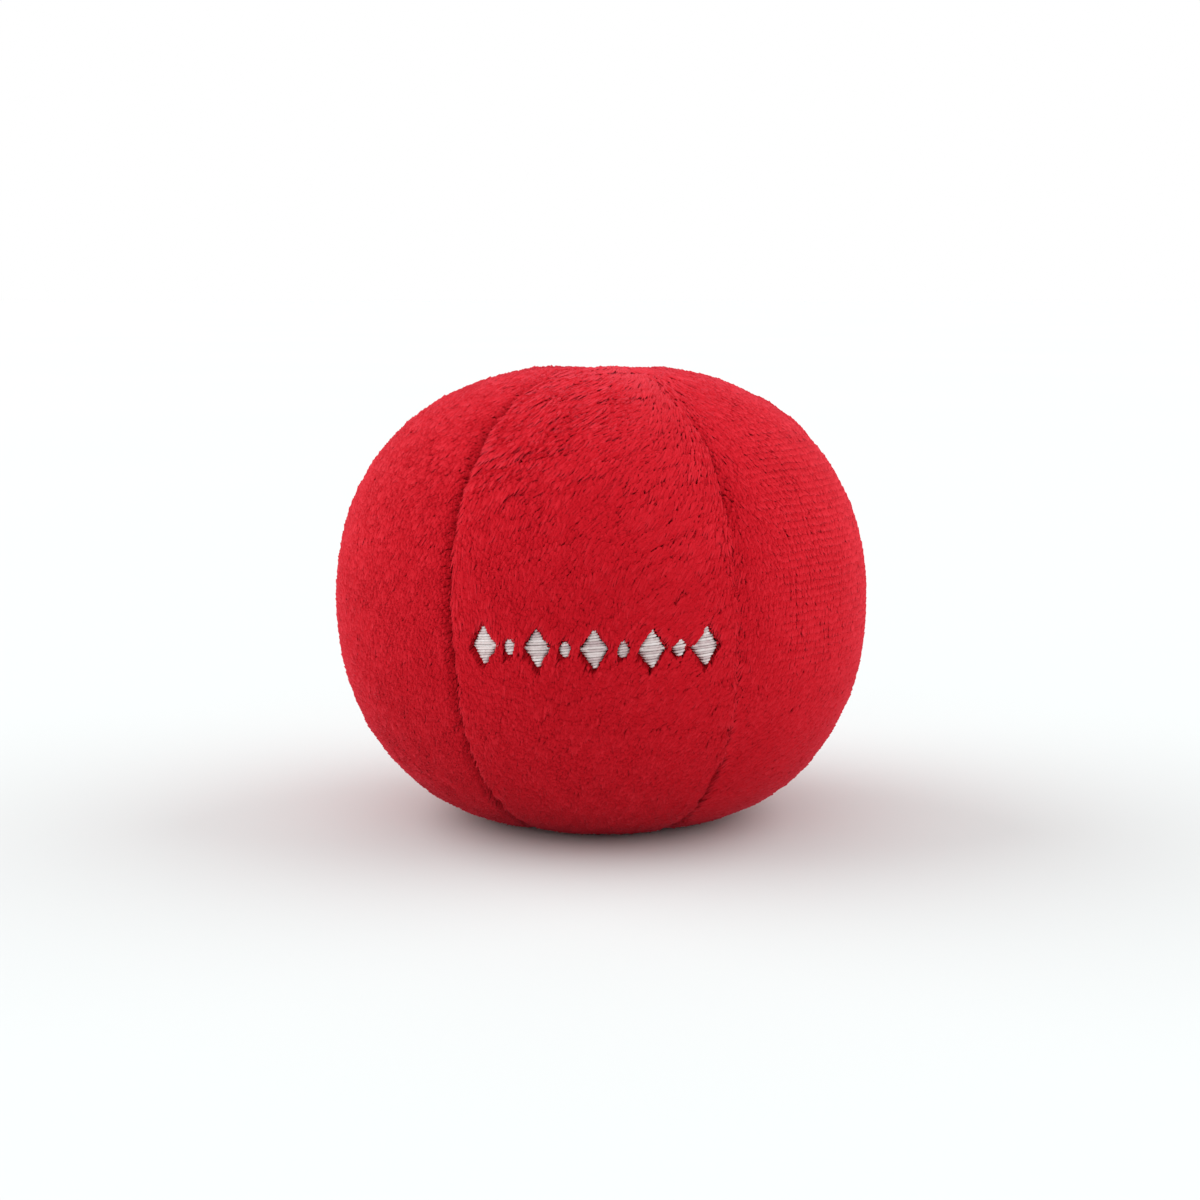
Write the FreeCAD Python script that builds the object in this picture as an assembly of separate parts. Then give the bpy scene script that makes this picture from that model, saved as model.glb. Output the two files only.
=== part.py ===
"""Plush juggling ball: six sewn pile-fabric gores round an inner bag of plastic pellets.

The ball stands on its lower pole, on a small flat that its own weight presses into the pile.
Row frame: millimetres, +Z up through both poles, origin at the centre of the resting flat.
The front gore, which carries the embroidery, faces -Y.

Each gore bulges about a vertical axis of its own, set out from the ball's axis, so that the
seams lie in shallow valleys and the poles dimple slightly. All surfaces of the cover are that
same lobed form at different insets, and the bag and the fill are plain forms of revolution.
"""

import FreeCAD
import Part
import math
import os

Vector = FreeCAD.Vector
UP = Vector(0, 0, 1)
ORIGIN = Vector(0, 0, 0)

# ---- driving dimensions, mm and degrees ----
BALL_DIAMETER = 68.0          # across the crowns of two opposite gores, over the pile
BALL_HEIGHT = 57.0            # from the resting flat to the top, over the pile
GORE_COUNT = 6
SQUARENESS = 2.2              # exponent of the meridian: 2 is an ellipse, more is squarer
LOBE_OFFSET = 4.5             # how far each gore's own axis stands from the ball's axis
POLE_FLAT_RADIUS = 1.5        # the meridians end at a tiny flat, 0.02 mm below a true pole
REST_FLAT_DEPTH = 0.8         # how far the pile and cloth are pressed in at the bottom

CLOTH = 2.0                   # knitted ground and pile together
ALLOWANCE_THICKNESS = 1.0     # a turned-in seam allowance, with its pile crushed
ALLOWANCE_WIDTH = 5.0

THREAD_RADIUS = 0.2
STITCH_PITCH = 3.0
STITCH_GAP = 0.35             # the part of a stitch's length that dives into the cloth
STITCH_INSET = 1.6            # depth of the machine stitches below the pile's surface
POLE_MARGIN = 3.0             # the machine stitches stop this far from a pole's dimple ring

CLOSING_TOP = 10.0            # the filling gap, right of the front gore: from above the equator
CLOSING_BOTTOM = -16.0        # to this far below it
RUNG_PITCH = 2.5
RUNG_HALF_LENGTH = 1.1
KNOT_RADIUS = 0.55

MOTIF_DROP = 1.4              # the embroidered row's centre line below the equator
MOTIF_PITCH = 6.7             # from one diamond to the next, along the cloth
DIAMOND_HEIGHT = 5.0
DIAMOND_WIDTH = 3.9
DOT_RADIUS = 0.95
LINE_HEIGHT = 0.45
MOTIF_TOP_INSET = 0.2         # the satin stitches lie between these two depths
MOTIF_BASE_INSET = 1.2
BACKING_THICKNESS = 0.3
BACKING_HALF_WIDTH = 15.0
BACKING_HALF_HEIGHT = 6.0
BOBBIN_THICKNESS = 0.15

LINER_SLACK = 0.5             # the bag lies this far inside the seam allowances
LINER_CLOTH = 0.3
LINER_LAP = 4.0               # the two halves overlap by this much at the equator
LINER_STITCHES = 60
LINER_THREAD_RADIUS = 0.15
LINER_STITCH_LENGTH = 2.2
FILL_CLEARANCE = 0.05

# ---- worked out from those ----
LOBE_RADIUS = BALL_DIAMETER / 2 - LOBE_OFFSET
HALF_HEIGHT = (BALL_HEIGHT + REST_FLAT_DEPTH) / 2
CENTRE_Z = HALF_HEIGHT - REST_FLAT_DEPTH
GORE_STEP = 360 / GORE_COUNT
HALF_ANGLE = math.radians(GORE_STEP / 2)
FRONT = -90.0                 # azimuth of the front gore, from +X
REACH = BALL_DIAMETER         # longer than anything that it has to cut through

GORE_NAMES = ["front", "front_right", "back_right", "back", "back_left", "front_left"]


def half_meridian(radius, half_height, steps=24):
    """Points of the meridian from one pole's small flat to the other's, as (radius, height)."""
    last_angle = math.acos((POLE_FLAT_RADIUS / radius) ** (SQUARENESS / 2))
    points = []
    for i in range(steps + 1):
        angle = last_angle * (2 * i / steps - 1)
        across = math.cos(angle) ** (2 / SQUARENESS)
        along = abs(math.sin(angle)) ** (2 / SQUARENESS)
        points.append((radius * across, math.copysign(half_height * along, angle)))
    return points


def round_form(radius, half_height, axis_x=0.0):
    """A solid of revolution with that meridian, about the vertical line at x = axis_x."""
    points = [Vector(axis_x + r, 0, CENTRE_Z + z) for r, z in half_meridian(radius, half_height)]
    curve = Part.BSplineCurve()
    curve.interpolate(points)
    bottom, top = Vector(axis_x, 0, points[0].z), Vector(axis_x, 0, points[-1].z)
    closing_lines = Part.makePolygon([points[-1], top, bottom, points[0]])
    face = Part.Face(Part.Wire([curve.toShape()] + closing_lines.Edges))
    # Two half turns keep the surface's own seam in the gore's plane of symmetry.
    return face.revolve(bottom, UP, 180).fuse(face.revolve(bottom, UP, -180))


def lobe(inset):
    """The gore's lobed form, that far inside the pile's surface. The gore faces +X here."""
    return round_form(LOBE_RADIUS - inset, HALF_HEIGHT - inset, LOBE_OFFSET)


def wedge(apex_x=0.0):
    """A tall prism that holds a gore's share of the ball, its sharp edge at x = apex_x."""
    side = Vector(REACH * math.cos(HALF_ANGLE), REACH * math.sin(HALF_ANGLE), 0)
    apex = Vector(apex_x, 0, -REACH)
    corners = [apex, apex + Vector(side.x, -side.y, 0), apex + side, apex]
    return Part.Face(Part.makePolygon(corners)).extrude(UP * 3 * REACH)


def block(low, high):
    """A box between two corners."""
    size = high - low
    return Part.makeBox(size.x, size.y, size.z, low)


def turned(shape, azimuth):
    """A copy of a shape turned about the ball's axis."""
    copy = shape.copy()
    copy.rotate(ORIGIN, UP, azimuth)
    return copy


def gore_blank():
    """One gore with both seam allowances turned in against its back, facing +X."""
    inner = lobe(CLOTH + ALLOWANCE_THICKNESS)
    clear_of_allowances = wedge(ALLOWANCE_WIDTH / math.sin(HALF_ANGLE)).common(lobe(CLOTH))
    above_floor = block(Vector(-REACH, -REACH, 0), Vector(REACH, REACH, REACH))
    return wedge().common(lobe(0)).cut(inner).cut(clear_of_allowances).common(above_floor)


def seam_radius(lobe_reach):
    """Distance from the ball's axis, in a seam's plane, of what is lobe_reach from a lobe's axis."""
    half_gap = LOBE_OFFSET * math.sin(HALF_ANGLE)
    return LOBE_OFFSET * math.cos(HALF_ANGLE) + math.sqrt(lobe_reach**2 - half_gap**2)


def seam_line(inset, samples=400):
    """Points down a seam that far inside the pile's surface, as (distance from axis, height)."""
    meridian = half_meridian(LOBE_RADIUS - inset, HALF_HEIGHT - inset, samples)
    shortest = LOBE_OFFSET * math.sin(HALF_ANGLE) + POLE_MARGIN
    return [(seam_radius(r), z) for r, z in reversed(meridian) if r > shortest]


def spaced(line, pitch):
    """Points one pitch apart along a line of (distance from axis, height) points."""
    kept = [line[0]]
    walked = 0.0
    for before, after in zip(line, line[1:]):
        walked += math.dist(before, after)
        if walked >= pitch:
            kept.append(after)
            walked = 0.0
    return kept


def in_closing_gap(z):
    return CLOSING_BOTTOM < z < CLOSING_TOP


def rod(start, end, radius):
    """A round rod between two points."""
    run = end - start
    return Part.makeCylinder(radius, run.Length, start, run)


def machine_stitches(has_gap):
    """The lock stitches of a seam that lies towards +X, in the fold between two gores."""
    stitches = []
    points = spaced(seam_line(STITCH_INSET), STITCH_PITCH)
    for (r0, z0), (r1, z1) in zip(points, points[1:]):
        if has_gap and (in_closing_gap(z0) or in_closing_gap(z1)):
            continue
        start, end = Vector(r0, 0, CENTRE_Z + z0), Vector(r1, 0, CENTRE_Z + z1)
        along = (end - start).normalize() * (STITCH_GAP / 2)
        stitches.append(rod(start + along, end - along, THREAD_RADIUS))
    return Part.makeCompound(stitches)


def ladder_points():
    """Where the hand stitches cross the closing seam, from the top of the gap down."""
    gap = [p for p in seam_line(STITCH_INSET) if in_closing_gap(p[1])]
    return spaced(gap, RUNG_PITCH)


def closing_stitch():
    """The ladder stitch of a seam towards +X: rungs across it, and runs inside either fold."""
    side = RUNG_HALF_LENGTH
    path = []
    for r, z in ladder_points():
        path += [Vector(r, side, CENTRE_Z + z), Vector(r, -side, CENTRE_Z + z)]
        side = -side
    pieces = [rod(a, b, THREAD_RADIUS) for a, b in zip(path, path[1:])]
    pieces += [Part.makeSphere(THREAD_RADIUS, corner) for corner in path[1:-1]]
    return pieces[0].fuse(pieces[1:]).removeSplitter()


def closing_knot():
    """The knot that ends the ladder stitch, sunk in the seam just below its last rung."""
    r, z = ladder_points()[-1]
    return Part.makeSphere(KNOT_RADIUS, Vector(r, 0, CENTRE_Z + z - RUNG_PITCH / 2))


def motif_prisms():
    """The outline of the embroidered row, drawn through the front gore: five diamonds and four
    dots on a thin line. Each is turned about the gore's own axis, so that none is stretched."""
    lobe_axis = Vector(LOBE_OFFSET, 0, 0)
    height = CENTRE_Z - MOTIF_DROP
    reach = LOBE_RADIUS + CLOTH
    start_x = LOBE_OFFSET + LOBE_RADIUS / 2
    prisms = []
    for k in range(-4, 5):
        if k % 2:
            shape = Part.makeCylinder(DOT_RADIUS, reach, Vector(start_x, 0, height), Vector(1, 0, 0))
        else:
            corners = [
                Vector(start_x, 0, height - DIAMOND_HEIGHT / 2),
                Vector(start_x, DIAMOND_WIDTH / 2, height),
                Vector(start_x, 0, height + DIAMOND_HEIGHT / 2),
                Vector(start_x, -DIAMOND_WIDTH / 2, height),
            ]
            face = Part.Face(Part.makePolygon(corners + corners[:1]))
            shape = face.extrude(Vector(reach, 0, 0))
        along_cloth = k * MOTIF_PITCH / 2
        shape.rotate(lobe_axis, UP, math.degrees(along_cloth / LOBE_RADIUS))
        prisms.append(shape)
    half_row = LOBE_RADIUS * math.sin(2 * MOTIF_PITCH / LOBE_RADIUS)
    line = block(
        Vector(start_x, -half_row, height - LINE_HEIGHT / 2),
        Vector(start_x + reach, half_row, height + LINE_HEIGHT / 2),
    )
    return line.fuse(prisms)


def front_gore_trim():
    """The embroidery, its backing and its bobbin thread, and the pocket that it sinks into."""
    prisms = motif_prisms()
    pocket = prisms.cut(lobe(MOTIF_BASE_INSET))
    top = pocket.common(lobe(MOTIF_TOP_INSET))
    backing_face = lobe(CLOTH + BACKING_THICKNESS)
    patch = block(
        Vector(0, -BACKING_HALF_WIDTH, CENTRE_Z - MOTIF_DROP - BACKING_HALF_HEIGHT),
        Vector(REACH, BACKING_HALF_WIDTH, CENTRE_Z - MOTIF_DROP + BACKING_HALF_HEIGHT),
    )
    backing = patch.common(lobe(CLOTH)).cut(backing_face)
    bobbin = prisms.common(backing_face).cut(lobe(CLOTH + BACKING_THICKNESS + BOBBIN_THICKNESS))
    return pocket, top, backing, bobbin


def liner_radius():
    """The inner bag's radius at the equator, just inside the seam allowances."""
    return seam_radius(LOBE_RADIUS - CLOTH - ALLOWANCE_THICKNESS) - LINER_SLACK


def liner(inset):
    """The inner bag's form, that far inside its outer face."""
    half_height = HALF_HEIGHT - CLOTH - ALLOWANCE_THICKNESS - LINER_SLACK
    return round_form(liner_radius() - inset, half_height - inset)


def liner_halves():
    """The bag's two halves. The lower one's rim lies inside the upper one's."""
    half_lap = LINER_LAP / 2
    upper_zone = block(
        Vector(-REACH, -REACH, CENTRE_Z - half_lap), Vector(REACH, REACH, CENTRE_Z + REACH)
    )
    lower_zone = block(
        Vector(-REACH, -REACH, CENTRE_Z - REACH), Vector(REACH, REACH, CENTRE_Z + half_lap)
    )
    middle = liner(LINER_CLOTH)
    upper = liner(0).cut(middle).common(upper_zone)
    lower = middle.cut(liner(2 * LINER_CLOTH)).common(lower_zone)
    return upper, lower


def liner_stitches():
    """A ring of running stitches round the bag's lap seam."""
    radius = liner_radius() + LINER_THREAD_RADIUS
    half = Vector(0, LINER_STITCH_LENGTH / 2, 0)
    middle = Vector(radius, 0, CENTRE_Z)
    stitch = rod(middle - half, middle + half, LINER_THREAD_RADIUS)
    step = 360 / LINER_STITCHES
    return Part.makeCompound([turned(stitch, step * i) for i in range(LINER_STITCHES)])


def gore(left_seam, right_seam, trim=()):
    """A gore that faces +X, with room for the thread of its two seams and for its trim."""
    solid = gore_blank()
    cutters = [turned(thread, -GORE_STEP / 2) for thread in left_seam]
    cutters += [turned(thread, GORE_STEP / 2) for thread in right_seam]
    for cutter in cutters + list(trim):
        solid = solid.cut(cutter)
    return solid


def build():
    """Every node of the ball, by name."""
    plain_seam = [machine_stitches(has_gap=False)]
    closed_seam = [machine_stitches(has_gap=True), closing_stitch(), closing_knot()]
    pocket, top, backing, bobbin = front_gore_trim()
    gores = [gore(plain_seam, plain_seam)] * GORE_COUNT
    gores[0] = gore(plain_seam, closed_seam, [pocket, backing, bobbin])
    gores[1] = gore(closed_seam, plain_seam)

    nodes = {}
    for i, name in enumerate(GORE_NAMES):
        azimuth = FRONT + GORE_STEP * i
        left_seam = closed_seam if i == 1 else plain_seam
        seam_name = "seam_thread_" + GORE_NAMES[i - 1] + "_to_" + name
        nodes["panel_" + name] = turned(gores[i], azimuth)
        nodes[seam_name] = turned(left_seam[0], azimuth - GORE_STEP / 2)
    closing_azimuth = FRONT + GORE_STEP / 2
    nodes["closing_stitch"] = turned(closed_seam[1], closing_azimuth)
    nodes["closing_knot"] = turned(closed_seam[2], closing_azimuth)
    nodes["embroidery"] = turned(top, FRONT)
    nodes["embroidery_backing"] = turned(backing, FRONT)
    nodes["embroidery_bobbin_thread"] = turned(bobbin, FRONT)
    nodes["liner_upper"], nodes["liner_lower"] = liner_halves()
    nodes["liner_seam_thread"] = liner_stitches()
    nodes["pellet_fill"] = liner(2 * LINER_CLOTH + FILL_CLEARANCE)
    return nodes


os.makedirs("parts", exist_ok=True)
for node_name, node_shape in build().items():
    node_shape.exportStep("parts/" + node_name + ".step")
    print(f"{node_name}: {len(node_shape.Solids)} solids, {node_shape.Volume:.1f} mm3", end=", ")
    print("valid" if node_shape.isValid() else "NOT VALID")
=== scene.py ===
"""The looks of the plush juggling ball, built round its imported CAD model.

Each gore gets a ground, which is its knitted cloth with the seam allowances turned in, and a
pile, which is thousands of closed tapered locks of fibre that lie over along the nap. A gore's
surface is addressed by u, from -1 at its left seam to 1 at its right one, and by v, from -1 at
the lower pole to 1 at the upper one. Lengths are metres, as in the frame.
"""
import math
from itertools import product

import bpy
import numpy as np
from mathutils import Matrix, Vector


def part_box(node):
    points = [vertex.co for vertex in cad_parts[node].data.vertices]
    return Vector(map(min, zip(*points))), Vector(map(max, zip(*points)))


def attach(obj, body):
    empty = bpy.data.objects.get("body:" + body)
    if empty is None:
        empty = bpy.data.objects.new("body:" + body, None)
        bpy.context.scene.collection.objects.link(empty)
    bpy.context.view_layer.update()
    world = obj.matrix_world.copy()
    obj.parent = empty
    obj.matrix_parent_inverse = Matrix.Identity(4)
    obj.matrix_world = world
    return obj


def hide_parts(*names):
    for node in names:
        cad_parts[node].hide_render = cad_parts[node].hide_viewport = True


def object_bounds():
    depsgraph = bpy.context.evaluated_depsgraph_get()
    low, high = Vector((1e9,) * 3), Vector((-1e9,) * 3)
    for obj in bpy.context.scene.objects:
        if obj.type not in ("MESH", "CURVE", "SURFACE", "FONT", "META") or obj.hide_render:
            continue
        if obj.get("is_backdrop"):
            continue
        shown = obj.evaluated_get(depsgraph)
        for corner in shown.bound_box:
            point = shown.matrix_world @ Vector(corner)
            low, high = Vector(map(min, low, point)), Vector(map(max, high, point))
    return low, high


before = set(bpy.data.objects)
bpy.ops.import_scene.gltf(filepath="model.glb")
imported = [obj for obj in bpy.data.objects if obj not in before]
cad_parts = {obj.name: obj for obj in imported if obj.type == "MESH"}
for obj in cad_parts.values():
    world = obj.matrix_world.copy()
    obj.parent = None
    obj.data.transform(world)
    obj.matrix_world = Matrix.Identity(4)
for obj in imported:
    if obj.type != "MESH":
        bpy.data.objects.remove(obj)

CAD_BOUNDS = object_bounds()
MM = 0.001

# ---- the ball's form, from the frame ----
LOW, HIGH = CAD_BOUNDS
BALL_RADIUS = (HIGH.y - LOW.y) / 2
REST_FLAT_DEPTH = 0.8 * MM
HALF_HEIGHT = (HIGH.z - LOW.z + REST_FLAT_DEPTH) / 2
CENTRE = np.array([0.0, 0.0, HIGH.z - HALF_HEIGHT])
LOBE_OFFSET = 4.5 * MM            # each gore bulges about its own axis, this far out
LOBE_RADIUS = BALL_RADIUS - LOBE_OFFSET
SQUARENESS = 2.2                  # exponent of the meridian
GORES = ["front", "front_right", "back_right", "back", "back_left", "front_left"]
HALF_GORE = math.pi / len(GORES)
FRONT = -math.pi / 2
SAG = 0.7 * MM
SEAM_LEAN = math.radians(1.2)     # the cover is twisted this much from equator to pole
SEAM_WAVER = math.radians(0.35)

# ---- cloth ----
PILE_HEIGHT = 1.5 * MM
GROUND_INSET = 1.25 * MM          # the knitted ground lies this far inside the CAD surface
CLOTH_THICKNESS = 0.75 * MM
ALLOWANCE_THICKNESS = 1.0 * MM
ALLOWANCE_WIDTH = 5.0 * MM
COURSE = 0.9 * MM                 # height of a knitted course
WALE = 0.85 * MM                  # width of a column of its loops
SEAM_DIP = 1.0 * MM               # how far the stitching pulls the cloth in
SEAM_DIP_WIDTH = 0.65 * MM
STITCH_PITCH = 3.0 * MM
PUCKER = 0.15 * MM
CLOSING_GAP = (-0.33, 0.21)       # heights between which the closing seam is sewn by hand
RUNG_PITCH = 2.5 * MM

# ---- pile ----
LOCK_STEP = 0.2065 * MM           # spacing of locks across the gore
LOCK_ROW = 0.28 * MM              # spacing of rows up the gore
LOCK_LENGTH = 2.1 * MM
LOCK_WIDTH = 0.34 * MM
SHORTEST_LOCK = 0.5 * MM
ROOT_DEPTH = 0.1 * MM             # a lock starts this far under the knitted ground
FULL_HEIGHT = 1.12                # a lock's height where it bends over, in pile heights
TIP_HEIGHT = 0.88                 # its tip's height, as a share of that
BEND_PLACE = 0.32                 # where along its length it bends over
CLUMP_ACROSS = 1.15 * MM
CLUMP_ALONG = 1.8 * MM
SEAM_BARE = 0.2 * MM              # no lock is rooted nearer to a seam
SEAM_OVERHANG = 0.25 * MM         # and none reaches further across one

# ---- embroidery: five diamonds and four dots on a thin line ----
MOTIF_DROP = 1.4 * MM
MOTIF_PITCH = 6.7 * MM
DIAMOND_HEIGHT = 5.0 * MM
DIAMOND_WIDTH = 3.9 * MM
DOT_RADIUS = 0.95 * MM
THREAD_PITCH = 0.30 * MM
THREAD_WIDTH = 0.34 * MM
TUCK = -0.12 * MM                 # the pile reaches this far in over the figures' edges

# ---- inner bag and filling ----
BAG_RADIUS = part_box("liner_upper")[1].x
BAG_HALF_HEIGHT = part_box("liner_upper")[1].z - CENTRE[2]
BAG_CLOTH = 0.3 * MM
BAG_LAP = 4.0 * MM
PELLET_SIZE = 2.9 * MM


# ---------------------------------------------------------------- smooth random fields
HASH_SIZE = 4096
HASH_VALUES = np.random.default_rng(11).uniform(-1, 1, HASH_SIZE)
X_PRIME, Y_PRIME, Z_PRIME = 73856093, 19349663, 83492791


def noise(points, size, seed=0):
    """Smooth values from -1 to 1 over space, with features about as large as size."""
    place = points / size + 31.7 * seed
    cell = np.floor(place).astype(np.int64)
    part = place - cell
    part = part * part * (3 - 2 * part)
    total = np.zeros(len(points))
    for corner in product((0, 1), repeat=3):
        x, y, z = (cell + corner).T
        index = (x * X_PRIME ^ y * Y_PRIME ^ z * Z_PRIME) % HASH_SIZE
        share = np.where(corner, part, 1 - part).prod(axis=1)
        total += share * HASH_VALUES[index]
    return total


def smooth_step(x, start, end):
    t = np.clip((x - start) / (end - start), 0, 1)
    return t * t * (3 - 2 * t)


# ---------------------------------------------------------------- the cover's surface
HALVINGS = 36


def on_lobe(azimuth, latitude, inset):
    """Points of a gore that faces +X, seen in those directions from the ball's centre."""
    radius, half_height = LOBE_RADIUS - inset, HALF_HEIGHT - inset
    level = np.cos(latitude)
    way = np.stack([level * np.cos(azimuth), level * np.sin(azimuth), np.sin(latitude)], -1)
    near = np.zeros(way.shape[:-1])
    far = near + 2 * BALL_RADIUS
    for _ in range(HALVINGS):
        middle = (near + far) / 2
        x, y, z = np.moveaxis(way * middle[..., None], -1, 0)
        reach = np.hypot(x - LOBE_OFFSET, y)
        outside = (reach / radius) ** SQUARENESS + (abs(z) / half_height) ** SQUARENESS > 1
        near, far = np.where(outside, near, middle), np.where(outside, middle, far)
    return way * near[..., None]


LATITUDES = np.linspace(-math.pi / 2, math.pi / 2, 721)
CROWN = on_lobe(0 * LATITUDES, LATITUDES, 0 * LATITUDES)
CROWN_LENGTH = np.concatenate([[0], np.cumsum(np.linalg.norm(np.diff(CROWN, axis=0), axis=1))])
MERIDIAN = CROWN_LENGTH[-1]


def latitude_at(v):
    return np.interp((v + 1) / 2 * MERIDIAN, CROWN_LENGTH, LATITUDES)


def half_width_at(v):
    """Half the gore's width there, along the cloth."""
    radius = np.interp((v + 1) / 2 * MERIDIAN, CROWN_LENGTH, CROWN[:, 0])
    return np.maximum(radius, 0) * HALF_GORE


def seam_distance(u, v):
    return (1 - abs(u)) * half_width_at(v)


def placed(local, gore):
    """Moves points of a gore that faces +X to its place on the ball, and lets the ball settle."""
    local = sagged(local)
    height = local[..., 2] / HALF_HEIGHT
    azimuth = FRONT + 2 * HALF_GORE * gore
    around = azimuth + np.arctan2(local[..., 1], local[..., 0])
    turn = azimuth - SEAM_LEAN * height + SEAM_WAVER * np.sin(5 * height + 2 * around)
    x = local[..., 0] * np.cos(turn) - local[..., 1] * np.sin(turn)
    y = local[..., 0] * np.sin(turn) + local[..., 1] * np.cos(turn)
    return settled(np.stack([x, y, local[..., 2]], -1) + CENTRE)


def sagged(local):
    """Fills out the ball's lower flank, where the pellets' weight pushes the cover outwards."""
    height = local[..., 2] / HALF_HEIGHT
    share = 1 + SAG / BALL_RADIUS * np.exp(-(((height + 0.85) / 0.2) ** 2))
    return local * np.stack([share, share, np.ones_like(share)], -1)


def settled(points):
    """Presses what would reach below the floor up against it, softly."""
    z = points[..., 2]
    depth = REST_FLAT_DEPTH
    points[..., 2] = np.where(z < depth, depth * np.exp(np.minimum(z / depth, 1) - 1), z)
    return points


def closing_seam_side(gore):
    """Which edge of the gore is sewn up by hand: 1 for its right, -1 for its left, 0 for none."""
    return {"front": 1, "front_right": -1}.get(GORES[gore], 0)


def seam_depth(gore, u, v):
    """How deep the nearer seam lies there, as a share of the usual depth."""
    closing = closing_seam_side(gore) * u > 0
    by_hand = 0.9 - 0.45 * smooth_step(v, -0.1, 0.1)
    return (1 - 0.6 * smooth_step(v, 0.35, 0.8)) * np.where(closing, by_hand, 1.0)


def cover(gore, u, v, inset, drawn=1.0):
    """Points that far below the pile's tips, with the cloth drawn in along the seams."""
    distance = seam_distance(u, v)
    along = (v + 1) / 2 * MERIDIAN
    dip = SEAM_DIP * seam_depth(gore, u, v) * np.exp(-((distance / SEAM_DIP_WIDTH) ** 2))
    ripple = np.exp(-distance / SEAM_DIP_WIDTH) * np.sin(2 * math.pi * along / STITCH_PITCH)
    return placed(
        on_lobe(u * HALF_GORE, latitude_at(v), inset + drawn * (dip + PUCKER * ripple)), gore
    )


def unit(vectors):
    return vectors / np.linalg.norm(vectors, axis=-1, keepdims=True)


def directions(gore, u, v, inset):
    """The directions to the right, up the gore and outwards, leaving the seams' dips aside."""
    step_u, step_v = 0.004, 0.002
    right = cover(gore, u + step_u, v, inset, 0) - cover(gore, u - step_u, v, inset, 0)
    upper, lower = np.minimum(v + step_v, 1), np.maximum(v - step_v, -1)
    up = cover(gore, u, upper, inset, 0) - cover(gore, u, lower, inset, 0)
    right = unit(right)
    out = unit(np.cross(right, up))
    return right, np.cross(out, right), out


# ---------------------------------------------------------------- meshes and materials
def make_piece(name, points, faces, material, node=None, normals=None):
    """A mesh object from an array of points and arrays of faces, riding on the ball."""
    mesh = bpy.data.meshes.new(name)
    if isinstance(faces, np.ndarray):
        corners, size = faces.ravel(), faces.shape[1]
        mesh.vertices.add(len(points))
        mesh.vertices.foreach_set("co", np.ascontiguousarray(points, float).ravel())
        mesh.loops.add(len(corners))
        mesh.loops.foreach_set("vertex_index", corners.astype(np.int32))
        mesh.polygons.add(len(faces))
        mesh.polygons.foreach_set("loop_start", np.arange(0, len(corners), size, dtype=np.int32))
        mesh.update(calc_edges=True)
    else:
        mesh.from_pydata([tuple(p) for p in points], [], faces)
    mesh.shade_smooth()
    mesh.validate()
    if normals is not None:
        mesh.normals_split_custom_set_from_vertices(normals)
    mesh.materials.append(material)
    piece = bpy.data.objects.new(name, mesh)
    bpy.context.collection.objects.link(piece)
    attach(piece, "root")
    if node:
        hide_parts(node)
    return piece


class Nodes:
    """A short way to write a node material."""

    def __init__(self, name):
        self.material = bpy.data.materials.new(name)
        self.material.use_nodes = True
        self.tree = self.material.node_tree
        self.shader = self.tree.nodes["Principled BSDF"]

    def add(self, kind, inputs=None, **settings):
        node = self.tree.nodes.new(kind)
        for key, value in settings.items():
            setattr(node, key, value)
        for key, value in (inputs or {}).items():
            if isinstance(value, bpy.types.NodeSocket):
                self.tree.links.new(value, node.inputs[key])
            else:
                node.inputs[key].default_value = value
        return node

    def math(self, operation, a, b, c=None):
        inputs = {0: a, 1: b} if c is None else {0: a, 1: b, 2: c}
        return self.add("ShaderNodeMath", inputs, operation=operation).outputs[0]

    def place(self):
        return self.add("ShaderNodeTexCoord").outputs["Object"]

    def noise(self, size, detail=2.0, vector=None):
        inputs = {"Vector": vector or self.place(), "Scale": 1 / size, "Detail": detail}
        return self.add("ShaderNodeTexNoise", inputs).outputs["Fac"]

    def ramp(self, factor, stops):
        node = self.add("ShaderNodeValToRGB", {"Fac": factor})
        elements = node.color_ramp.elements
        while len(elements) < len(stops):
            elements.new(0.5)
        for element, (position, colour) in zip(elements, stops):
            element.position = position
            element.color = (*colour, 1)
        return node.outputs["Color"]

    def attribute(self, name):
        return self.add("ShaderNodeAttribute", attribute_name=name).outputs["Fac"]

    def bump(self, height, distance, strength=1.0):
        inputs = {"Height": height, "Distance": distance, "Strength": strength}
        self.tree.links.new(
            self.add("ShaderNodeBump", inputs).outputs["Normal"], self.shader.inputs["Normal"]
        )

    def finish(self, colour=None, roughness=None, **plain):
        for socket, value in (("Base Color", colour), ("Roughness", roughness)):
            if isinstance(value, bpy.types.NodeSocket):
                self.tree.links.new(value, self.shader.inputs[socket])
            elif value is not None:
                self.shader.inputs[socket].default_value = value
        for socket, value in plain.items():
            self.shader.inputs[socket.replace("_", " ")].default_value = value
        return self.material


# Pile reds from root to tip: the darker root reds are painted shade deep in the pile, the pinker tip
# red is a painted highlight; only the middle red is near the fibre's own colour.
SHADED_ROOT_RED = (0.46, 0.0012, 0.006)
HALF_SHADED_RED = (0.47, 0.0025, 0.009)
RED = (0.54, 0.0055, 0.014)
HIGHLIT_TIP_RED = (0.64, 0.014, 0.026)


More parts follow.
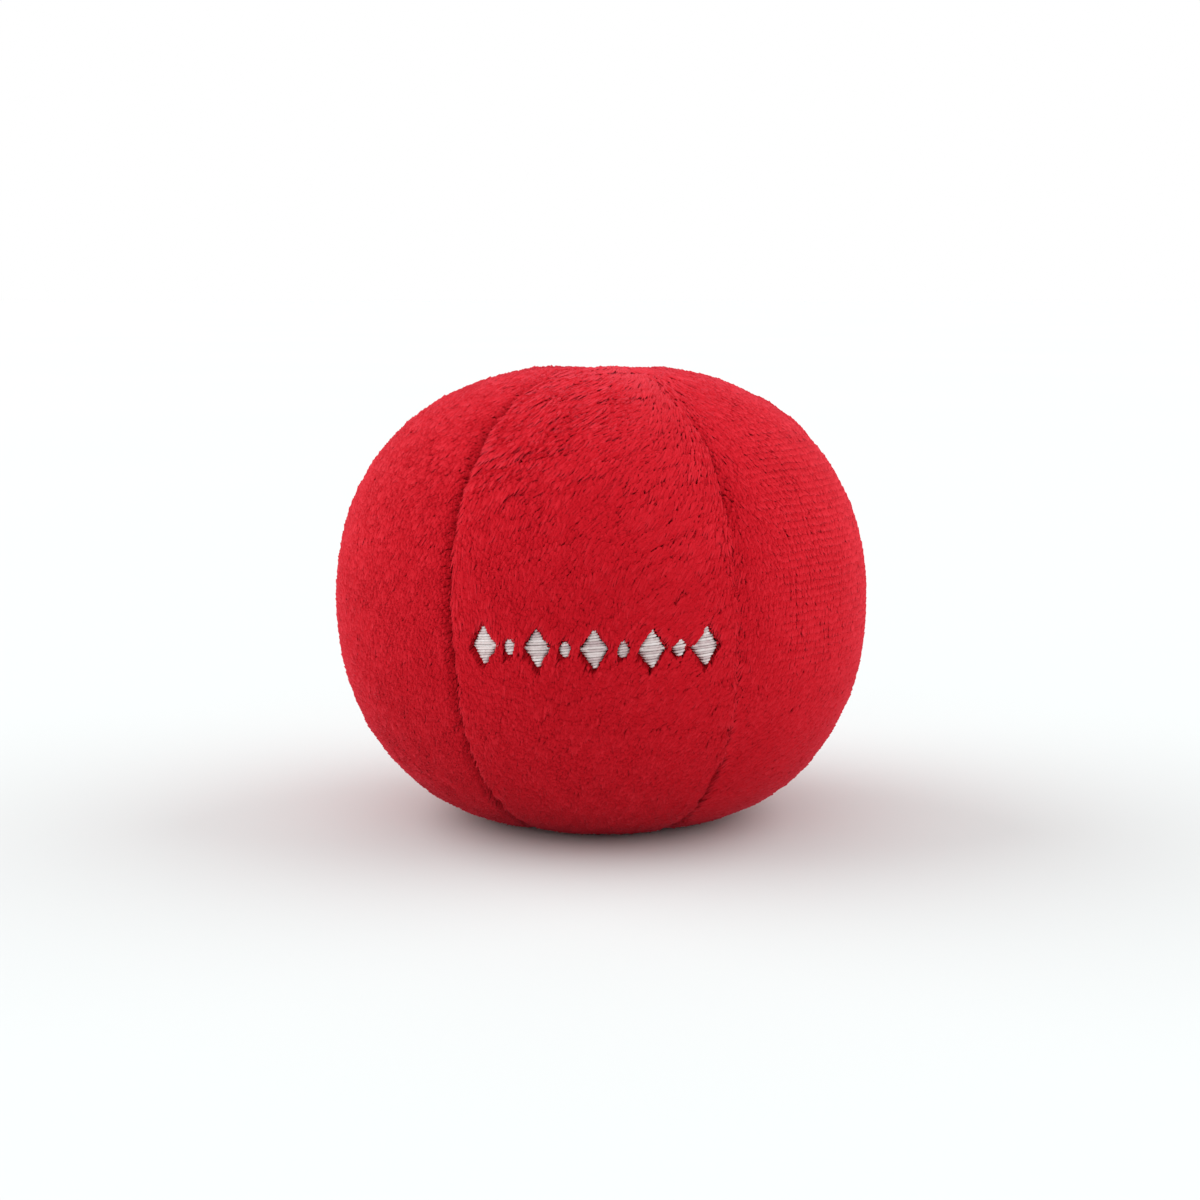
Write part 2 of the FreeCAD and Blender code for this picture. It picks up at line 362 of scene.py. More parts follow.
def plush_material():
    """Pile fibre: painted shade makes it dark at the locks' roots, between the locks, and a painted
    highlight makes it brighter and pinker towards their tips.
    """
    m = Nodes("red_plush_painted_shade_and_highlight")
    rise = m.attribute("rise")
    tone = m.attribute("tone")
    patch = m.noise(7 * MM, 3.0)
    depth = m.math("MULTIPLY_ADD", tone, 0.30, m.math("MULTIPLY_ADD", patch, 0.30, -0.30))
    shade = m.math("ADD", rise, depth)
    # the ramp paints shade towards each lock's root and a highlight towards its tip
    colour = m.ramp(shade, [(0.0, SHADED_ROOT_RED), (0.35, HALF_SHADED_RED), (0.7, RED), (1.0, HIGHLIT_TIP_RED)])
    return m.finish(
        colour,
        0.75,
        Sheen_Weight=0.18,
        Sheen_Roughness=0.5,
        Sheen_Tint=(1.0, 0.30, 0.42, 1),
        Specular_IOR_Level=0.06,
    )


def ground_material():
    """The knitted ground under the pile: rows of small loops, with painted shade: the whole ground
    darker than the pile's red, as at the bottom of the pile, and darker still in the hollows between
    the rows.
    """
    m = Nodes("red_knit_ground_painted_shade")
    wave = m.add(
        "ShaderNodeTexWave",
        {"Vector": m.place(), "Scale": 180.0, "Distortion": 1.5, "Detail": 2.0},
        bands_direction="Z",
    ).outputs["Fac"]
    # painted shade: a red darker than the pile's own, darkest where the rows' bump is low
    colour = m.ramp(wave, [(0.0, (0.30, 0.001, 0.005)), (1.0, (0.42, 0.002, 0.008))])
    m.bump(wave, 0.1 * MM)
    return m.finish(colour, 0.85, Specular_IOR_Level=0.2)


def thread_material(name, colour, dark):
    """Twisted sewing thread, with painted shade in the grooves between its plies."""
    m = Nodes(name)
    twist = m.add(
        "ShaderNodeTexWave",
        {"Vector": m.place(), "Scale": 900.0, "Distortion": 0.6},
        bands_direction="DIAGONAL",
    ).outputs["Fac"]
    m.bump(twist, 0.04 * MM, 0.6)
    # painted shade: the dark colour lies where the twist's bump is low, in the grooves between the
    # plies
    return m.finish(m.ramp(twist, [(0.0, dark), (1.0, colour)]), 0.45, Sheen_Weight=0.3)


def satin_material():
    """Embroidery thread: light silver pink, with the plies' twist in its shine."""
    m = Nodes("silver_pink_satin")
    fleck = m.noise(0.5 * MM, 3.0)
    tone = m.attribute("tone")
    mixed = m.math("MULTIPLY_ADD", tone, 0.4, m.math("MULTIPLY", fleck, 0.6))
    colour = m.ramp(
        mixed, [(0.2, (0.46, 0.33, 0.34)), (0.5, (0.66, 0.57, 0.56)), (0.8, (0.80, 0.75, 0.74))]
    )
    roughness = m.math("MULTIPLY_ADD", fleck, 0.25, 0.3)
    return m.finish(colour, roughness, Sheen_Weight=0.2, Specular_IOR_Level=0.6)


# ---------------------------------------------------------------- ground
GROUND_COLUMNS, GROUND_ROWS = 48, 160


def make_ground(gore, material):
    """The gore's cloth as one closed shell, thicker where its allowances are turned in."""
    columns = np.linspace(-0.998, 0.998, GROUND_COLUMNS)
    rows = np.linspace(-0.995, 0.995, GROUND_ROWS)
    u, v = np.meshgrid(columns, rows)
    outer = cover(gore, u, v, np.full(u.shape, GROUND_INSET))
    folded = 1 - smooth_step(seam_distance(u, v), 0.8 * ALLOWANCE_WIDTH, ALLOWANCE_WIDTH)
    inner = cover(gore, u, v, GROUND_INSET + CLOTH_THICKNESS + ALLOWANCE_THICKNESS * folded, 0.3)
    points = np.concatenate([outer.reshape(-1, 3), inner.reshape(-1, 3)])

    count = GROUND_COLUMNS * GROUND_ROWS
    index = np.arange(count).reshape(u.shape)
    quad = np.stack([index[:-1, :-1], index[:-1, 1:], index[1:, 1:], index[1:, :-1]], -1)
    quad = quad.reshape(-1, 4)
    edge = np.concatenate([index[0, :], index[1:, -1], index[-1, -2::-1], index[-2:0:-1, 0]])
    following = np.roll(edge, -1)
    rim = np.stack([edge, edge + count, following + count, following], -1)
    faces = np.concatenate([quad, quad[:, ::-1] + count, rim])
    name = "plush_" + GORES[gore] + "_ground"
    piece = make_piece(name, points, faces, material, "panel_" + GORES[gore])
    return piece


# ---------------------------------------------------------------- embroidered figures
def motif_point(across, up, inset):
    """A point of the front gore, by its distance along the cloth and up from the motif's line."""
    z = up - MOTIF_DROP
    radius, half_height = LOBE_RADIUS - inset, HALF_HEIGHT - inset
    reach = radius * (1 - (abs(z) / half_height) ** SQUARENESS) ** (1 / SQUARENESS)
    angle = across / LOBE_RADIUS
    local = np.stack([LOBE_OFFSET + reach * np.cos(angle), reach * np.sin(angle), z], -1)
    return placed(local, 0)


def motif_cover(across, up, margin):
    """True where a point of the cloth lies under the embroidery, or within the margin of it."""
    up = up + MOTIF_DROP
    nearest = np.clip(np.round(across / MOTIF_PITCH), -2, 2) * MOTIF_PITCH
    half_width, half_height = DIAMOND_WIDTH / 2 + margin, DIAMOND_HEIGHT / 2 + margin
    diamond = abs(across - nearest) / half_width + abs(up) / half_height < 1
    nearest = (np.clip(np.floor(across / MOTIF_PITCH), -2, 1) + 0.5) * MOTIF_PITCH
    dot = np.hypot(across - nearest, up) < DOT_RADIUS + margin
    line = (abs(up) < 0.15 * MM + margin / 2) & (abs(across) < 2 * MOTIF_PITCH)
    return diamond | dot | line


def add_thread(points, faces, tones, path, width, tone):
    """One satin thread: a closed tapered tube of six sides along the path."""
    sides = 6
    path = np.array(path)
    along = unit(np.gradient(path, axis=0))
    out = unit(path - CENTRE)
    side = unit(np.cross(along, out))
    up = np.cross(side, along)
    share = np.linspace(0, 1, len(path))
    girth = width / 2 * (1 - abs(2 * share - 1) ** 5 * 0.75)
    start = len(points)
    for i in range(len(path)):
        for k in range(sides):
            angle = 2 * math.pi * k / sides
            offset = math.cos(angle) * side[i] + 0.8 * math.sin(angle) * up[i]
            points.append(path[i] + girth[i] * offset)
            tones.append(tone)
    for i in range(len(path) - 1):
        for k in range(sides):
            a, b = start + i * sides + k, start + i * sides + (k + 1) % sides
            faces.append((a, b, b + sides, a + sides))
    faces.append(tuple(start + k for k in reversed(range(sides))))
    faces.append(tuple(start + (len(path) - 1) * sides + k for k in range(sides)))


def satin_rows(centre, half_height, half_width_of, rng):
    """Threads laid side by side across a figure, each a low arch from edge to edge."""
    count = int(2 * half_height / THREAD_PITCH)
    for k in range(count):
        up = (k + 0.5) / count * 2 * half_height - half_height
        half = half_width_of(up) + 0.10 * MM * rng.uniform(-1, 1)
        if half < 0.2 * MM:
            continue
        share = np.linspace(-1, 1, 9)
        across = centre + half * share
        lift = 0.60 * MM * (1 - share**4)
        slant = up + 0.12 * MM * share + 0.03 * MM * rng.uniform(-1, 1)
        yield motif_point(across, slant, 0.6 * MM - lift + 0.07 * MM * rng.uniform(-1, 1))


def make_embroidery(material):
    """Five diamonds and four dots in satin stitch, joined by a line of running stitches."""
    rng = np.random.default_rng(5)
    points, faces, tones = [], [], []

    def diamond(up):
        return DIAMOND_WIDTH / 2 * (1 - abs(up) / (DIAMOND_HEIGHT / 2))

    def dot(up):
        return math.sqrt(max(DOT_RADIUS**2 - up**2, 0))

    for k in range(-4, 5):
        shape, half_height = (dot, DOT_RADIUS) if k % 2 else (diamond, DIAMOND_HEIGHT / 2)
        for path in satin_rows(k * MOTIF_PITCH / 2, half_height, shape, rng):
            add_thread(points, faces, tones, path, THREAD_WIDTH, rng.uniform())
    stitches = 12
    for k in range(stitches):
        ends = (np.array([0.02, 0.98]) + k) / stitches * 4 - 2
        share = np.linspace(0, 1, 7)
        across = (ends[0] + (ends[1] - ends[0]) * share) * MOTIF_PITCH
        up = 0.05 * MM * rng.uniform(-1, 1) + 0 * share
        inset = 0.7 * MM - 0.6 * MM * np.sin(math.pi * share)
        add_thread(points, faces, tones, motif_point(across, up, inset), THREAD_WIDTH, rng.uniform())
    piece = make_piece("embroidered_diamonds_and_dots", points, faces, material, "embroidery")
    add_point_values(piece, tone=tones)
    return piece


def add_point_values(piece, **values):
    """Stores one number per point under each name, for the material to read."""
    for name, numbers in values.items():
        attribute = piece.data.attributes.new(name, "FLOAT", "POINT")
        attribute.data.foreach_set("value", np.asarray(numbers, np.float32))


# ---------------------------------------------------------------- pile
HEIGHTS = [-0.8, -0.3, 0.15, 0.45, 0.85]    # heights up a gore where its nap is given
NAP_MIDDLE = {                              # degrees from straight down, to the right
    "front": [-12, -16, -30, -58, -78],
    "front_right": [-15, -18, 12, 36, 58],
    "back_right": [-6, 4, 16, 24, 30],
    "back": [-20, -12, -18, -30, -44],
    "back_left": [10, -6, -22, -34, -50],
    "front_left": [-22, -24, -32, -48, -66],
}
NAP_TURN = {                                # how much further right at the right seam
    "front": [0, 0, -16, 6, 0],
    "front_right": [0, 4, -12, -26, -18],
    "back_right": [6, -8, 0, 10, 0],
    "back": [-8, 6, 12, 0, -10],
    "back_left": [0, 10, -6, 8, 6],
    "front_left": [0, -6, -10, 0, 0],
}
RUFFLED = {                                 # how ruffled the pile is: 0 is brushed smooth
    "front": [0.35, 0.4, 0.8, 1.35, 1.2],
    "front_right": [0.3, 0.3, 0.6, 0.8, 0.8],
    "back_right": [0.4, 0.5, 0.6, 0.6, 0.7],
    "back": [0.3, 0.5, 0.8, 0.9, 0.8],
    "back_left": [0.4, 0.6, 0.5, 0.7, 0.9],
    "front_left": [0.3, 0.4, 0.5, 0.6, 0.6],
}


def nap_angle(gore, u, v, points, rng):
    """Which way the pile lies, in radians from straight down and towards the right."""
    name = GORES[gore]
    angle = np.interp(v, HEIGHTS, NAP_MIDDLE[name]) + u * np.interp(v, HEIGHTS, NAP_TURN[name])
    side = closing_seam_side(gore)
    if side:
        distance = np.maximum(1 - side * u, 0) * half_width_at(v)
        parted = np.exp(-distance / (3 * MM)) * smooth_step(v, 0.1, 0.5)
        angle = angle * (1 - 0.9 * parted)
        sewn = smooth_step(v, CLOSING_GAP[0] - 0.05, CLOSING_GAP[0] + 0.05)
        sewn = sewn * smooth_step(v, CLOSING_GAP[1] + 0.1, CLOSING_GAP[1])
        rung = 0.5 + 0.5 * np.sin(math.pi * (v + 1) * MERIDIAN / RUNG_PITCH)
        tuft = sewn * (0.4 + 0.6 * rung) * np.exp(-distance / (1.2 * MM))
        angle = angle * (1 - tuft) + side * 80 * tuft
    ruffled = 0.4 + 0.8 * np.interp(v, HEIGHTS, RUFFLED[name])
    angle = angle + ruffled * (14 * noise(points, 7 * MM, 1) + 14 * noise(points, 2.4 * MM, 2))
    angle = angle + 7 * rng.normal(size=len(u))
    return np.radians(angle)


def knit_order(gore, u, v):
    """How plainly the knitted courses show: the pile stands in rows where it isn't ruffled."""
    if GORES[gore] == "front_right":
        return 0.8 * smooth_step(u, -1.1, -0.5) * smooth_step(v, -0.35, 0) * smooth_step(v, 0.8, 0.4)
    if GORES[gore] == "back_left":
        return smooth_step(u, 0.5, -0.2) * smooth_step(v, -0.6, -0.2) * smooth_step(v, 0.6, 0.3)
    return np.zeros(len(u))


def lock_roots(gore, half, rng):
    """Where half a gore's locks are rooted: in courses where they show, and scattered elsewhere."""
    rows = int(MERIDIAN / 2 / LOCK_ROW)
    us, vs = [], []
    for j in range(rows):
        v = half * (j + 0.5) / rows
        count = max(1, round(float(2 * half_width_at(v) / LOCK_STEP)))
        us.append((np.arange(count) + 0.25 + 0.5 * (j % 2)) / count * 2 - 1)
        vs.append(np.full(count, v))
    u, v = np.concatenate(us), np.concatenate(vs)
    order = knit_order(gore, u, v)
    ruffle = 1 - 0.8 * order
    u = u + ruffle * rng.uniform(-0.7, 0.7, len(u)) * LOCK_STEP / np.maximum(half_width_at(v), MM)
    v = v + ruffle * rng.uniform(-1.2, 1.2, len(v)) * LOCK_ROW / MERIDIAN * 2
    u, v = np.clip(u, -0.998, 0.998), np.clip(v, -0.999, 0.999)
    bare = SEAM_BARE * seam_depth(gore, u, v) ** 2
    kept = seam_distance(u, v) > bare * smooth_step(abs(v), 1.0, 0.95)
    return u[kept], v[kept], order[kept]


def gathered_in_loops(u, v, order):
    """Moves roots towards the middle of their wale and the upper part of their course. Also gives
    how far each is from the tips' line, which is past the course's lower edge."""
    half_width = np.maximum(half_width_at(v), MM)
    place = u * half_width / WALE
    wale = np.floor(place)
    u = u - order * 0.28 * (place - wale - 0.5) * WALE / half_width
    height = (v + 1) / 2 * MERIDIAN / COURSE + 0.08 * HASH_VALUES[wale.astype(int) % HASH_SIZE]
    course = np.floor(height)
    rise = 0.16 * order * (1 - (height - course))
    reach = (height + rise - course + 0.5) * COURSE
    return u, v + rise * COURSE / MERIDIAN * 2, reach


def clump(gore, u, v, points):
    """Gathers locks into clumps drawn out along the nap. Gives how far each lock is from its
    clump's middle line, along the clump and a random value for the clump."""
    x, y = u * half_width_at(v), (v + 1) / 2 * MERIDIAN
    slope = np.radians(np.interp(v, HEIGHTS, NAP_MIDDLE[GORES[gore]]))
    ahead = (-y * np.cos(slope) + x * np.sin(slope)) + 0.9 * MM * noise(points, 2.2 * MM, 3)
    across = (x * np.cos(slope) + y * np.sin(slope)) + 0.5 * MM * noise(points, 1.7 * MM, 4)
    across = across / CLUMP_ACROSS
    cell_x = np.floor(across).astype(np.int64)
    ahead = ahead / CLUMP_ALONG + HASH_VALUES[cell_x % HASH_SIZE]
    cell_y = np.floor(ahead).astype(np.int64)
    value = HASH_VALUES[(cell_x * X_PRIME ^ cell_y * Y_PRIME) % HASH_SIZE]
    return (across - cell_x - 0.5) * CLUMP_ACROSS, ahead - cell_y, value


def held_at_seams(u, v, angle, length):
    """Shortens the locks that would lie across a seam."""
    sideways = np.sin(angle) * np.where(u > 0, 1, -1)
    room = seam_distance(u, v) + SEAM_OVERHANG
    return np.where(sideways * length > room, room / np.maximum(sideways, 0.01), length)


def across_motif(points):
    """Where points of the front gore lie beside the motif: distance along the cloth, and height."""
    place = points - CENTRE
    turn = SEAM_LEAN * place[:, 2] / HALF_HEIGHT - FRONT
    x = place[:, 0] * np.cos(turn) - place[:, 1] * np.sin(turn)
    y = place[:, 0] * np.sin(turn) + place[:, 1] * np.cos(turn)
    return LOBE_RADIUS * np.arctan2(y, x - LOBE_OFFSET), place[:, 2]


def clear_of_motif(root, nap, length, height):
    """Trims the locks that would cover the embroidery. Those that come out from under it stay low."""
    allowed = np.full(len(root), 1.0)
    for share in (1.0, 0.8, 0.6, 0.4, 0.2):
        under = motif_cover(*across_motif(root + (share * length)[:, None] * nap), TUCK)
        allowed = np.where(under, share - 0.1, allowed)
    rooted_under = motif_cover(*across_motif(root), TUCK)
    kept = (allowed == 1) | ~rooted_under
    length = np.maximum(length * allowed, SHORTEST_LOCK)
    return length, height * np.where(rooted_under, 0.5, 0.7 + 0.3 * allowed), kept


LOCK_FACES = np.array([
    (0, 2, 1), (0, 1, 4), (0, 4, 3), (1, 2, 5), (1, 5, 4), (2, 0, 3), (2, 3, 5),
    (3, 4, 6), (4, 5, 6), (5, 3, 6),
])
# Share of the way from root to tip at each corner of a lock; the plush material paints shade where it
# is low and a highlight where it is high.
LOCK_RISE = [0, 0, 0, 0.6, 0.6, 0.6, 1.0]


def triangle(side, forward):
    """From a lock's axis to the three corners of its section, for a half width of one."""
    below = np.cross(forward, side)
    turns = [math.radians(turn) for turn in (-90, 30, 150)]
    return [math.cos(turn) * side + 0.7 * math.sin(turn) * below for turn in turns]


def lock_corners(root, axes, length, height, width, sway, order):
    """Each lock's ring at the root, ring at the bend and tip, and the ways out to the rings."""
    nap, side, out = axes
    bend_height = height * (1 - 0.08 * order)
    tip_height = height * (TIP_HEIGHT + 0.06 * order) - length**2 / (2 * BALL_RADIUS)
    base = root - ROOT_DEPTH * out
    bend = root + (BEND_PLACE * length)[:, None] * nap + bend_height[:, None] * out
    bend = bend + (0.3 * sway)[:, None] * side
    tip = root + length[:, None] * nap + tip_height[:, None] * out + sway[:, None] * side
    low_ring = triangle(side, unit(bend - base))
    high_ring = triangle(side, unit(tip - base))
    corners = [base + 0.6 * width[:, None] * way for way in low_ring]
    corners += [bend + 0.65 * width[:, None] * way for way in high_ring]
    return np.stack([*corners, tip], 1), low_ring + high_ring


def make_pile(gore, half, material):
    """Half a gore's pile: closed locks of ten triangles, bent over along the nap."""
    rng = np.random.default_rng(100 + 2 * gore + half)
    u, v, order = lock_roots(gore, half, rng)
    u, v, loop_reach = gathered_in_loops(u, v, order)
    inset = np.full(len(u), GROUND_INSET)
    root = cover(gore, u, v, inset)
    right, up, out = directions(gore, u, v, inset)
    angle = nap_angle(gore, u, v, root, rng)
    offset, ahead, clump_value = clump(gore, u, v, root)
    angle = angle + math.radians(9) * clump_value * (1 - order)
    nap = -np.cos(angle)[:, None] * up + np.sin(angle)[:, None] * right
    side = np.cross(nap, out)

    ruffle = (1 - order) * np.interp(v, HEIGHTS, RUFFLED[GORES[gore]])
    jitter = rng.normal(size=(4, len(u)))
    loose = LOCK_LENGTH * (1 - 0.15 * ruffle) * (1 + 0.25 * clump_value)
    length = (1 - order) * loose * (1 + 0.15 * jitter[0]) + order * loop_reach
    length = held_at_seams(u, v, angle, np.maximum(length, SHORTEST_LOCK))
    lumps = 0.20 * noise(root, 3.2 * MM, 5) + 0.08 * clump_value
    crest = 0.13 * (1 - (2 * offset / CLUMP_ACROSS) ** 2) - 0.10 * abs(2 * ahead - 0.9)
    height = PILE_HEIGHT * (FULL_HEIGHT + ruffle * (lumps + crest) + 0.03 * jitter[1])
    width = LOCK_WIDTH * (1 + 0.2 * jitter[2])
    kept = np.full(len(u), True)
    if GORES[gore] == "front":
        length, height, kept = clear_of_motif(root, nap, length, height)

    sway = 0.06 * MM * jitter[3] - 0.38 * offset * ruffle
    sway = np.clip(sway * (1 - 0.7 * order), -0.3 * length, 0.3 * length)
    points, ways = lock_corners(root, (nap, side, out), length, height, width, sway, order)
    points = points[kept]
    lean = ruffle * 1.1 * offset / CLUMP_ACROSS
    soft = out + lean[:, None] * side
    normals = [soft + 0.6 * way for way in ways]
    normals = unit(np.stack([*normals, soft + 0.3 * nap], 1)[kept]).reshape(-1, 3)

    count = len(points)
    faces = (np.arange(count)[:, None, None] * len(LOCK_RISE) + LOCK_FACES).reshape(-1, 3)
    name = "plush_" + GORES[gore] + "_pile_" + ("upper" if half > 0 else "lower")
    points = settled(points.reshape(-1, 3))
    piece = make_piece(name, points, faces, material, "panel_" + GORES[gore], normals)
    tone = (0.5 + 0.3 * clump_value + 0.2 * rng.normal(size=len(u)))[kept]
    add_point_values(
        piece, rise=np.tile(LOCK_RISE, count), tone=np.repeat(tone, len(LOCK_RISE))
    )
    return piece


# ---------------------------------------------------------------- inner bag and pellets
def bag_points(azimuth, latitude, inset):
    """Points of the pellet bag, that far inside its smooth outer form, creased and dented."""
    ways = np.stack([
        np.cos(latitude) * np.cos(azimuth), np.cos(latitude) * np.sin(azimuth), np.sin(latitude)
    ], -1)
    across = np.cos(latitude) / BAG_RADIUS
    rise = abs(np.sin(latitude)) / BAG_HALF_HEIGHT
    smooth = ways / ((across**SQUARENESS + rise**SQUARENESS) ** (1 / SQUARENESS))[..., None]
    flat = smooth.reshape(-1, 3)
    dents = 0.10 * MM * noise(flat, 3 * MM, 7) + 0.12 * MM * noise(flat, 9 * MM, 8)
    inwards = (inset + 0.25 * MM + dents.reshape(inset.shape))[..., None]
    return smooth - inwards * ways + CENTRE


BAG_COLUMNS, BAG_ROWS = 180, 60


def make_bag_half(node, upper, inset, material):
    """Half of the bag as a closed shell, from just past the equator to the pole's gathered end."""
    edge = BAG_LAP / 2 / BAG_RADIUS
    latitudes = np.linspace(-edge, math.pi / 2 - 0.01, BAG_ROWS)
    azimuths = np.arange(BAG_COLUMNS) / BAG_COLUMNS * 2 * math.pi
    azimuth, latitude = np.meshgrid(azimuths, latitudes if upper else -latitudes)
    outer = bag_points(azimuth, latitude, np.full(azimuth.shape, inset))
    inner = bag_points(azimuth, latitude, np.full(azimuth.shape, inset + BAG_CLOTH))
    index = np.arange(azimuth.size).reshape(azimuth.shape)
    beside = np.roll(index, -1, axis=1)
    quads = np.stack([index[:-1], beside[:-1], beside[1:], index[1:]], -1).reshape(-1, 4)
    count = azimuth.size
    rim = np.stack([index[0] + count, beside[0] + count, beside[0], index[0]], -1)
    faces = np.concatenate([quads, quads[:, ::-1] + count, rim])
    if not upper:
        faces = faces[:, ::-1]
    polygons = [tuple(int(i) for i in face) for face in faces]
    for ring, turned in ((index[-1], not upper), (index[-1] + count, upper)):
        polygons.append(tuple(int(i) for i in (ring[::-1] if turned else ring)))
    points = np.concatenate([outer.reshape(-1, 3), inner.reshape(-1, 3)])
    name = "pellet_bag_" + ("upper" if upper else "lower")
    piece = make_piece(name, points, polygons, material, node)
    return piece


def icosahedron():
    """The corners and faces of a regular icosahedron of radius 1."""
    golden = (1 + math.sqrt(5)) / 2
    corners = []
    for a, b in product((-1, 1), (-golden, golden)):
        corners += [(0, a, b), (a, b, 0), (b, 0, a)]
    corners = np.array(corners) / math.hypot(1, golden)
    gaps = np.linalg.norm(corners[:, None] - corners[None], axis=2)
    near = (gaps > 0.1) & (gaps < 1.1)
    faces = []
    for i in range(12):
        for j in range(i + 1, 12):
            for k in range(j + 1, 12):
                if near[i, j] and near[j, k] and near[i, k]:
                    faces.append(outward(corners, (i, j, k)))
    return corners, np.array(faces)


def outward(corners, face):
    """The face's corners in the order that turns it away from the middle."""
    i, j, k = face
    facing = np.dot(np.cross(corners[j] - corners[i], corners[k] - corners[i]), corners[i])
    return face if facing > 0 else (i, k, j)


def make_pellets(material):
    """The filling: some thousands of lens-shaped pellets, layer within layer."""
    rng = np.random.default_rng(21)
    middles = []
    depth = 2 * BAG_CLOTH + 0.6 * MM + PELLET_SIZE / 2
    while depth < BAG_HALF_HEIGHT:
        radius, half_height = BAG_RADIUS - depth, BAG_HALF_HEIGHT - depth
        count = max(1, int(4 * math.pi * radius * half_height / PELLET_SIZE**2 / 1.05))
        share = (np.arange(count) + 0.5) / count
        height = 1 - 2 * share
        turn = math.pi * (1 + math.sqrt(5)) * np.arange(count)
        level = np.sqrt(1 - height**2)
        x, y = radius * level * np.cos(turn), radius * level * np.sin(turn)
        layer = np.stack([x, y, half_height * height], -1)
        middles.append(layer + 0.2 * MM * rng.normal(size=layer.shape))
        depth += 0.9 * PELLET_SIZE
    middles = np.concatenate(middles)
    corners, faces = icosahedron()
    size = PELLET_SIZE / 2 * rng.uniform(0.82, 0.95, (len(middles), 1, 1))
    axes = unit(rng.normal(size=(len(middles), 1, 3)))
    along = (corners * axes).sum(2, keepdims=True)
    points = middles[:, None] + size * (corners - 0.35 * along * axes) + CENTRE
    faces = (np.arange(len(middles))[:, None, None] * len(corners) + faces).reshape(-1, 3)
    piece = make_piece("pellets", points.reshape(-1, 3), faces, material, "pellet_fill")
    return piece


def bag_material():
    """Unbleached cotton: a plain weave of warp and weft."""
    m = Nodes("unbleached_cotton")
    place = m.place()
    warp = m.add("ShaderNodeTexWave", {"Vector": place, "Scale": 420.0}, bands_direction="X")
    weft = m.add("ShaderNodeTexWave", {"Vector": place, "Scale": 420.0}, bands_direction="Z")
    weave = m.math("MULTIPLY", warp.outputs["Fac"], weft.outputs["Fac"])
    m.bump(weave, 0.1 * MM, 0.5)
    colour = m.ramp(m.noise(4 * MM), [(0.3, (0.52, 0.49, 0.42)), (0.7, (0.66, 0.63, 0.56))])
    return m.finish(colour, 0.9, Sheen_Weight=0.2)


def pellet_material():
    """Milky polypropylene."""
    m = Nodes("milky_polypropylene")
    cloud = m.noise(2 * MM)
    colour = m.ramp(cloud, [(0.3, (0.62, 0.63, 0.63)), (0.7, (0.78, 0.79, 0.79))])
    roughness = m.math("MULTIPLY_ADD", cloud, 0.2, 0.3)
    return m.finish(colour, roughness, Specular_IOR_Level=0.5)


def backing_material():
    """White non-woven stabiliser: matted fibres."""
    m = Nodes("white_nonwoven")
    fibres = m.noise(0.3 * MM, 4.0)
    m.bump(fibres, 0.05 * MM, 0.5)
    return m.finish(m.ramp(fibres, [(0.3, (0.62, 0.62, 0.60)), (0.7, (0.84, 0.84, 0.82))]), 0.9)


def dress(nodes, material):
    """Gives CAD nodes that keep their own shape a better material."""
    for name in nodes:
        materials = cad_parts[name].data.materials
        materials.clear()
        materials.append(material)


def make_inside():
    cotton = bag_material()
    make_bag_half("liner_upper", True, 0, cotton)
    make_bag_half("liner_lower", False, BAG_CLOTH, cotton)
    make_pellets(pellet_material())
    seams = [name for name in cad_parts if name.startswith("seam_thread")]
    red = thread_material("dark_red_thread", (0.42, 0.006, 0.016), (0.24, 0.003, 0.008))
    dress(seams + ["closing_stitch", "closing_knot"], red)
    white = thread_material("white_thread", (0.78, 0.77, 0.74), (0.55, 0.54, 0.52))
    dress(["liner_seam_thread", "embroidery_bobbin_thread"], white)
    dress(["embroidery_backing"], backing_material())


# ---------------------------------------------------------------- stage
CAMERA_ELEVATION = math.radians(8.2)
CAMERA_AZIMUTH = math.radians(1.7)
CAMERA_DISTANCE = 8 * BALL_RADIUS
CAMERA_LENS = 62.7
FLOOR_SIZE = 60.0
FLOOR_DARK = (0.56, 0.585, 0.585)  # a little short of red, as the ball reddens its own shadow
FLOOR_LIGHT = (0.58, 0.605, 0.605)
SOFTBOX_SPREAD = math.radians(65)
LEFT_STRENGTH = 2.25
RIGHT_STRENGTH = 1.85


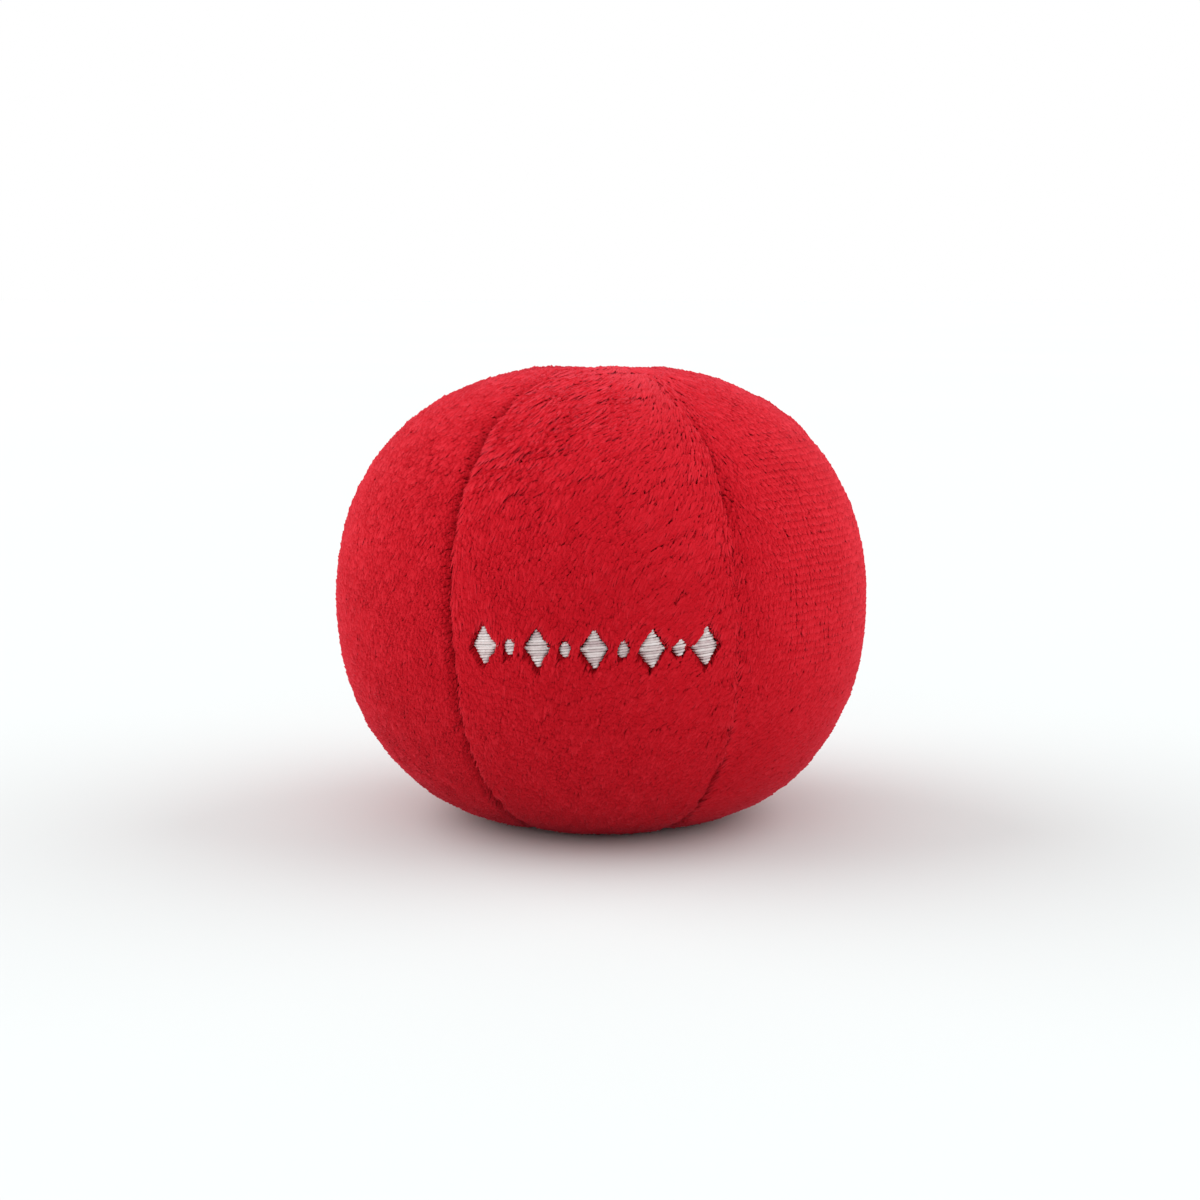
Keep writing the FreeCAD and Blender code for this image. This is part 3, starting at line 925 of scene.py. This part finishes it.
def make_camera():
    """Just above the ball's height, its target a little below the ball's middle."""
    camera = bpy.data.objects.new("camera", bpy.data.cameras.new("camera"))
    bpy.context.collection.objects.link(camera)
    target = Vector(CENTRE) - Vector((0.009 * BALL_RADIUS, 0, 0.018 * BALL_RADIUS))
    level = math.cos(CAMERA_ELEVATION)
    back = Vector((
        level * math.sin(CAMERA_AZIMUTH),
        -level * math.cos(CAMERA_AZIMUTH),
        math.sin(CAMERA_ELEVATION),
    ))
    camera.location = target + CAMERA_DISTANCE * back
    camera.rotation_euler = (-back).to_track_quat("-Z", "Y").to_euler()
    camera.data.lens = CAMERA_LENS
    camera.data.sensor_width = 36
    camera.data.clip_start = 0.01
    bpy.context.scene.camera = camera


def add_soft_light(name, toward, strength):
    """A broad distant light, as from a large softbox, that comes from that direction."""
    data = bpy.data.lights.new(name, "SUN")
    data.angle = SOFTBOX_SPREAD
    data.energy = strength
    lamp = bpy.data.objects.new(name, data)
    bpy.context.collection.objects.link(lamp)
    lamp.rotation_euler = Vector(toward).to_track_quat("Z", "Y").to_euler()


def make_stage():
    """A pale floor, with a broad light on each side and white light all round."""
    m = Nodes("white_floor")
    grain = m.noise(0.4, 1.0)
    floor_material = m.finish(m.ramp(grain, [(0, FLOOR_DARK), (1, FLOOR_LIGHT)]), 0.9)
    mesh = bpy.data.meshes.new("floor")
    signs = [(-1, -1), (1, -1), (1, 1), (-1, 1)]
    corners = [(FLOOR_SIZE * x, FLOOR_SIZE * y, 0) for x, y in signs]
    mesh.from_pydata(corners, [], [(0, 1, 2, 3)])
    mesh.materials.append(floor_material)
    floor = bpy.data.objects.new("floor", mesh)
    bpy.context.collection.objects.link(floor)
    floor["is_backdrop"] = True

    world = bpy.data.worlds.new("studio")
    bpy.context.scene.world = world
    world.use_nodes = True
    background = world.node_tree.nodes["Background"]
    background.inputs["Color"].default_value = (1, 1, 1, 1)
    background.inputs["Strength"].default_value = 1.0
    add_soft_light("left_softbox", (-0.9, 0.2, 0.55), LEFT_STRENGTH)
    add_soft_light("right_softbox", (0.9, 0.2, 0.55), RIGHT_STRENGTH)
    bpy.context.scene.view_settings.view_transform = "Standard"


def build():
    make_camera()
    make_stage()
    plush, ground = plush_material(), ground_material()
    for gore in range(len(GORES)):
        make_ground(gore, ground)
        make_pile(gore, 1, plush)
        make_pile(gore, -1, plush)
    make_embroidery(satin_material())
    make_inside()


build()

corners = {"cad": CAD_BOUNDS, "visual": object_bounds()}
{name: [list(c) for c in box] for name, box in corners.items()}
